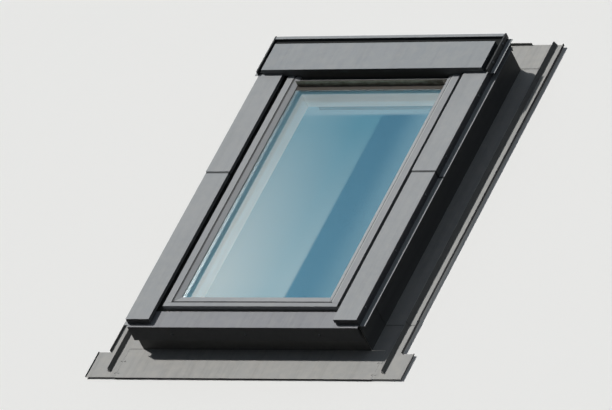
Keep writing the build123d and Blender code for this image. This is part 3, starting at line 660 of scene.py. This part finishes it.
bump(tree, shader, brush, 0.1, 0.0001)
dress_nodes(("control_bar",), aluminium, FITTING_EDGE)

grip_grey, tree, shader = finish_of("grey grip coating", IOR=1.45, Specular_IOR_Level=0.15)
grip_grain = noise(tree, 900.0, 4.0)
feed(tree, shader, Base_Color=blend_of(tree, grip_grain, GRIP_DARK, GRIP_PALE),
     Roughness=span(tree, grip_grain, 0.3, 0.7, 0.55, 0.75))
bump(tree, shader, grip_grain, 0.2, 0.0001)


def rounded_plate(u_low, u_high, v_low, v_high, radius):
    """The outline of a plate with round corners."""
    points = []
    for u, v, start in ((u_high - radius, v_high - radius, 0),
                        (u_low + radius, v_high - radius, 90),
                        (u_low + radius, v_low + radius, 180),
                        (u_high - radius, v_low + radius, 270)):
        for step in range(CORNER_STEPS + 1):
            angle = math.radians(start + 90 * step / CORNER_STEPS)
            points.append((u + radius * math.cos(angle), v + radius * math.sin(angle)))
    return points


def fitting(name, section, start, end, across=True, finish=aluminium):
    """A flat or drawn fitting with its edges eased."""
    soften(extruded(name, section, start, end, across, finish), TRIM_EDGE)


bar_end = rounded_plate(BAR_LOW, BAR_HIGH, BAR_FACE, BAR_BACK, BAR_CORNER)
fitting("control_bar_cap_left", bar_end, -BAR_CAP_HALF, -BAR_HALF)
fitting("control_bar_cap_right", bar_end, BAR_HALF, BAR_CAP_HALF)
grip_section = [(850.1, 12.0), (844.1, 9.0), (839.6, 3.0), (838.1, -4.0), (840.3, -4.4),
                (841.9, 2.0), (845.6, 6.8), (850.1, 9.0)]
fitting("control_bar_grip", grip_section, -GRIP_HALF, GRIP_HALF, finish=grip_grey)

# The pivot hinges, halfway up the jambs, of the same aluminium: a plate on each jamb, held by
# four screws, with the boss that the sash turns on.
PIVOT_Y = 491.0
PIVOT_Z = 1.0
PIVOT_FACE = 283.2
PIVOT_BACK = 284.9
PLATE_HALF_LENGTH = 48.0
PLATE_HALF_WIDTH = 16.0
PLATE_CORNER = 9.0
PLATE_SCREWS_ALONG = 36.0
PLATE_SCREWS_ACROSS = 8.0
PLATE_SCREW = [(ROUND, 3.4, 0.0), (ROUND, 3.4, 0.3), (ROUND, 2.8, 0.9), (ROUND, 1.8, 1.2),
               (CROSS, 3.6, 1.25), (CROSS, 2.6, 0.4)]
PIVOT_BOSS = [(ROUND, 9.0, 0.0), (ROUND, 9.0, 1.6), (ROUND, 7.6, 2.4), (ROUND, 4.4, 2.4),
              (ROUND, 3.9, 1.4), (ROUND, 1.2, 1.4)]
dress_nodes(("pivot_hinge_left", "pivot_hinge_right"), aluminium, FITTING_EDGE)
pivot_plate = rounded_plate(PIVOT_Y - PLATE_HALF_LENGTH, PIVOT_Y + PLATE_HALF_LENGTH,
                            PIVOT_Z - PLATE_HALF_WIDTH, PIVOT_Z + PLATE_HALF_WIDTH,
                            PLATE_CORNER)
for side, way in SIDES:
    fitting("pivot_plate_" + side, pivot_plate, *sorted((way * PIVOT_FACE, way * PIVOT_BACK)))
    plate_screws = [(way * PIVOT_FACE, PIVOT_Y + up * PLATE_SCREWS_ALONG,
                     PIVOT_Z + out * PLATE_SCREWS_ACROSS) for up in (-1, 1) for out in (-1, 1)]
    fixings("pivot_plate_screws_" + side, plate_screws, (-way, 0, 0), PLATE_SCREW, aluminium)
    fixings("pivot_boss_" + side, [(way * PIVOT_FACE, PIVOT_Y, PIVOT_Z)], (-way, 0, 0),
            PIVOT_BOSS, aluminium)

# The bolt on the sash's bottom rail, with its turned knob and four screws, and the striking
# plate screwed to the sill, of the same aluminium.
BOLT_Y = 76.0
BOLT_FACE = -0.35
BOLT_SCREWS_ACROSS = 16.0
BOLT_SCREWS_ALONG = 6.0
STRIKE_HALF = 24.0
STRIKE_LOW = 1.0
STRIKE_HIGH = 20.4
STRIKE_BACK = 52.1
STRIKE_FACE = 53.7
STRIKE_CORNER = 4.0
STRIKE_SCREWS_ACROSS = 17.0
KNOB = [(ROUND, 7.0, 0.0), (ROUND, 5.2, 1.4), (ROUND, 4.1, 3.5), (ROUND, 4.3, 6.0),
        (ROUND, 6.8, 8.6), (ROUND, 7.8, 10.4), (ROUND, 7.8, 12.2), (ROUND, 6.4, 14.0),
        (ROUND, 3.0, 15.0), (ROUND, 0.6, 15.2)]
dress_nodes(("barrel_bolt",), aluminium, FITTING_EDGE)
fixings("bolt_knob", [(0, BOLT_Y, BOLT_FACE)], (0, 0, -1), KNOB, aluminium)
fixings("bolt_screws", [(across * BOLT_SCREWS_ACROSS, BOLT_Y + up * BOLT_SCREWS_ALONG, BOLT_FACE)
                        for across in (-1, 1) for up in (-1, 1)],
        (0, 0, -1), PLATE_SCREW, aluminium)
fitting("striking_plate",
        rounded_plate(-STRIKE_HALF, STRIKE_HALF, STRIKE_LOW, STRIKE_HIGH, STRIKE_CORNER),
        STRIKE_BACK, STRIKE_FACE, across=False)
fixings("striking_plate_screws",
        [(across * STRIKE_SCREWS_ACROSS, STRIKE_FACE, (STRIKE_LOW + STRIKE_HIGH) / 2)
         for across in (-1, 1)], (0, 1, 0), PLATE_SCREW, aluminium)

# The stage: a pale board at the window's own slope, open round the frame and seen from its
# upper side only, and a pale floor. They show pale to the camera and in reflections, and
# throw little light back onto the window.
BOARD_LEVEL = -1.8
BOARD_HALF = 7000.0
BOARD_LOW = -470.0
BOARD_HIGH = 6000.0
OPENING_HALF = 328.0
OPENING_LOW = 8.0
OPENING_HIGH = 971.0
FLOOR_LEVEL = -0.33        # the floor's own places, in metres in the frame
FLOOR_HALF = 12.0
FLOOR_FRONT = -14.0
FLOOR_REAR = 10.0
GROUND_COLOUR = (0.92, 0.92, 0.91, 1)
GROUND_BOUNCE = (0.025, 0.025, 0.025, 1)


def bare_material(name):
    """A new material without a shader, and its tree."""
    made = bpy.data.materials.new(name)
    made.use_nodes = True
    made.node_tree.nodes.remove(made.node_tree.nodes["Principled BSDF"])
    return made, made.node_tree


def pale_ground(name):
    """A pale matt ground that is seen from above only and bounces little light."""
    made, tree = bare_material(name)
    seen = add(tree, "ShaderNodeBsdfDiffuse", Color=GROUND_COLOUR)
    dim = add(tree, "ShaderNodeBsdfDiffuse", Color=GROUND_BOUNCE)
    rays = add(tree, "ShaderNodeLightPath")
    matt = add(tree, "ShaderNodeMixShader", at_0=rays.outputs["Is Diffuse Ray"],
               at_1=seen.outputs[0], at_2=dim.outputs[0])
    clear = add(tree, "ShaderNodeBsdfTransparent")
    side = add(tree, "ShaderNodeNewGeometry")
    both = add(tree, "ShaderNodeMixShader", at_0=side.outputs["Backfacing"],
               at_1=matt.outputs[0], at_2=clear.outputs[0])
    feed(tree, tree.nodes["Material Output"], Surface=both.outputs[0])
    return made


def stage_sheet(name, points, faces, finish):
    """A flat piece of the stage, from points in the frame."""
    data = bpy.data.meshes.new(name)
    data.from_pydata([tuple(point) for point in points], [], faces)
    data.update()
    piece = bpy.data.objects.new(name, data)
    picture.collection.objects.link(piece)
    dress(piece, finish)
    return piece


def rectangle(half, low, high):
    """The four corners of a rectangle about the middle line, in x and y."""
    return [(-half, low), (half, low), (half, high), (-half, high)]


board_outline = (rectangle(BOARD_HALF, BOARD_LOW, BOARD_HIGH)
                 + rectangle(OPENING_HALF, OPENING_LOW, OPENING_HIGH))
board = stage_sheet("sloped_board", [on_slope(x, y, BOARD_LEVEL) for x, y in board_outline],
                    [(k, (k + 1) % 4, 4 + (k + 1) % 4, 4 + k) for k in range(4)],
                    pale_ground("pale board"))
floor = stage_sheet("floor", [(x, y, FLOOR_LEVEL)
                              for x, y in rectangle(FLOOR_HALF, FLOOR_FRONT, FLOOR_REAR)],
                    [(0, 1, 2, 3)], pale_ground("pale floor"))
board.visible_shadow = False
floor.visible_shadow = False

# What shows through the glass: one backdrop behind the window that glows with painted light
# and shade: pale on the left and along the top, painted as the room's lining lit by daylight,
# and dim to the right. Only rays that pass through the glass see it.
BACKDROP_LEVEL = -265.0
BACKDROP_HALF = 1500.0
BACKDROP_LOW = -900.0
BACKDROP_HIGH = 1900.0
LINING_EDGE_X = -0.2425    # edges of the lining on the backdrop, in metres
LINING_EDGE_Y = 1.109
LINING_EDGE_BLUR = 0.006
LINING_LOW = (0.440, 0.455, 0.430, 1)
LINING_HIGH = (0.125, 0.188, 0.210, 1)
LINING_LOW_INNER = (0.290, 0.355, 0.365, 1)
LINING_HIGH_INNER = (0.040, 0.115, 0.155, 1)
LINING_TOP = (0.195, 0.250, 0.270, 1)
ROOM_LOW = (0.036, 0.088, 0.140, 1)
ROOM_HIGH = (0.000, 0.028, 0.072, 1)
ROOM_SIDE = (0.100, 0.165, 0.205, 1)

backdrop, tree = bare_material("room light painted behind the glass")
spot = add(tree, "ShaderNodeSeparateXYZ", Vector=use_group(tree, place_group)[0])
rise = add(tree, "ShaderNodeMapRange", Value=spot.outputs["Y"], From_Min=0.52, From_Max=1.07)
room = blend_of(tree, rise.outputs[0], ROOM_LOW, ROOM_HIGH)
room = blend_of(tree, span(tree, spot.outputs["X"], -0.19, -0.09), room, ROOM_SIDE)
inward = add(tree, "ShaderNodeMapRange", Value=spot.outputs["X"], From_Min=-0.45, From_Max=-0.30)
low_lining = blend_of(tree, inward.outputs[0], LINING_LOW, LINING_LOW_INNER)
high_lining = blend_of(tree, inward.outputs[0], LINING_HIGH, LINING_HIGH_INNER)
lining = blend_of(tree, rise.outputs[0], low_lining, high_lining)
past_lining = span(tree, spot.outputs["X"], LINING_EDGE_X - LINING_EDGE_BLUR,
                   LINING_EDGE_X + LINING_EDGE_BLUR)
above_room = span(tree, spot.outputs["Y"], LINING_EDGE_Y - LINING_EDGE_BLUR,
                  LINING_EDGE_Y + LINING_EDGE_BLUR)
painted_room_light = blend_of(tree, above_room, blend_of(tree, past_lining, lining, room), LINING_TOP)
# The backdrop glows by itself: its light and shade are painted, not lit by a lamp.
painted_glow = add(tree, "ShaderNodeEmission", Color=painted_room_light)
clear = add(tree, "ShaderNodeBsdfTransparent")
rays = add(tree, "ShaderNodeLightPath")
side = add(tree, "ShaderNodeNewGeometry")
front = sum_of(tree, "SUBTRACT", 1.0, side.outputs["Backfacing"])
shown = sum_of(tree, "MULTIPLY", rays.outputs["Is Transmission Ray"], front)
both = add(tree, "ShaderNodeMixShader", at_0=shown, at_1=clear.outputs[0], at_2=painted_glow.outputs[0])
feed(tree, tree.nodes["Material Output"], Surface=both.outputs[0])
stage_sheet("room_backdrop",
            [on_slope(x, y, BACKDROP_LEVEL)
             for x, y in rectangle(BACKDROP_HALF, BACKDROP_LOW, BACKDROP_HIGH)],
            [(0, 1, 2, 3)], backdrop)

# Light: a sun from above the left side, a soft fill from the room side, a small lamp in the
# room for the sash's inner faces, and a pale sky that is brighter overhead.
SUN_FROM = (-0.58, 0.29, 1.0)
FILL_FROM = (0.0, 0.25, -1.0)
LAMP_AT = (420, 150, -420)
LAMP_TOWARDS = (-212, 400, 50)
LAMP_POWER = 3.2
LAMP_SIZE = 0.25
LAMP_SPREAD = math.radians(150)
SKY_LOW = (0.006, 0.008, 0.010, 1)
SKY_HIGH = (0.20, 0.225, 0.26, 1)
SKY_SEEN = (0.74, 0.88, 0.98, 1)


def new_lamp(name, kind, strength, way):
    """A lamp that shines from a direction in the frame."""
    data = bpy.data.lights.new(name, kind)
    data.energy = strength
    lamp = bpy.data.objects.new(name, data)
    lamp.rotation_euler = way.to_track_quat("Z", "Y").to_euler()
    picture.collection.objects.link(lamp)
    return lamp


for name, way, strength, width, colour in (
        ("sun", SUN_FROM, 2.85, 2.0, (1.0, 0.985, 0.955)),
        ("room fill", FILL_FROM, 1.05, 25.0, (1.0, 0.99, 0.97))):
    sun = new_lamp(name, "SUN", strength, tilt.to_3x3() @ Vector(way))
    sun.data.angle = math.radians(width)
    sun.data.color = colour
room_lamp = new_lamp("room lamp", "AREA", LAMP_POWER,
                     on_slope(*LAMP_AT) - on_slope(*LAMP_TOWARDS))
room_lamp.location = on_slope(*LAMP_AT)
room_lamp.data.size = LAMP_SIZE
room_lamp.data.spread = LAMP_SPREAD
room_lamp.visible_camera = False
room_lamp.visible_transmission = False

sky = bpy.data.worlds.new("pale sky")
picture.world = sky
sky.use_nodes = True
tree = sky.node_tree
sky_way = add(tree, "ShaderNodeTexCoord")
sky_up = add(tree, "ShaderNodeSeparateXYZ", Vector=sky_way.outputs["Generated"])
sky_light = blend_of(tree, span(tree, sky_up.outputs["Z"], 0.05, 1.0), SKY_LOW, SKY_HIGH)
rays = add(tree, "ShaderNodeLightPath")
seen = sum_of(tree, "MAXIMUM", rays.outputs["Is Camera Ray"], rays.outputs["Is Glossy Ray"])
seen = sum_of(tree, "MAXIMUM", seen, rays.outputs["Is Transmission Ray"])
feed(tree, tree.nodes["Background"], Color=blend_of(tree, seen, sky_light, SKY_SEEN))

# The camera looks almost level at the window from its right, from 25 m away, so that edges
# that run the same way stay parallel in the picture.
CAMERA_TURN = math.radians(32.6)
CAMERA_RISE = math.radians(-0.28)
CAMERA_AWAY = 25.0
CAMERA_AIM = (0, 480, 50)
AIM_LEFT = 0.04382         # the picture's middle past the aim, in metres
AIM_DOWN = 0.01574
VIEW_WIDTH = 1.481544      # what the picture shows at the window, in metres
SENSOR = 36.0
back = Vector((math.sin(CAMERA_TURN) * math.cos(CAMERA_RISE),
               -math.cos(CAMERA_TURN) * math.cos(CAMERA_RISE), math.sin(CAMERA_RISE)))
right = Vector((math.cos(CAMERA_TURN), math.sin(CAMERA_TURN), 0))
up = back.cross(right)
aim = on_slope(*CAMERA_AIM) - right * AIM_LEFT - up * AIM_DOWN
camera_data = bpy.data.cameras.new("camera")
camera_data.sensor_width = SENSOR
camera_data.lens = SENSOR * CAMERA_AWAY / VIEW_WIDTH
camera_data.clip_end = 200.0
camera = bpy.data.objects.new("camera", camera_data)
picture.collection.objects.link(camera)
turn = Matrix((right, up, back)).transposed().to_4x4()
camera.matrix_world = Matrix.Translation(aim + back * CAMERA_AWAY) @ turn
picture.camera = camera
picture.view_settings.view_transform = "Standard"
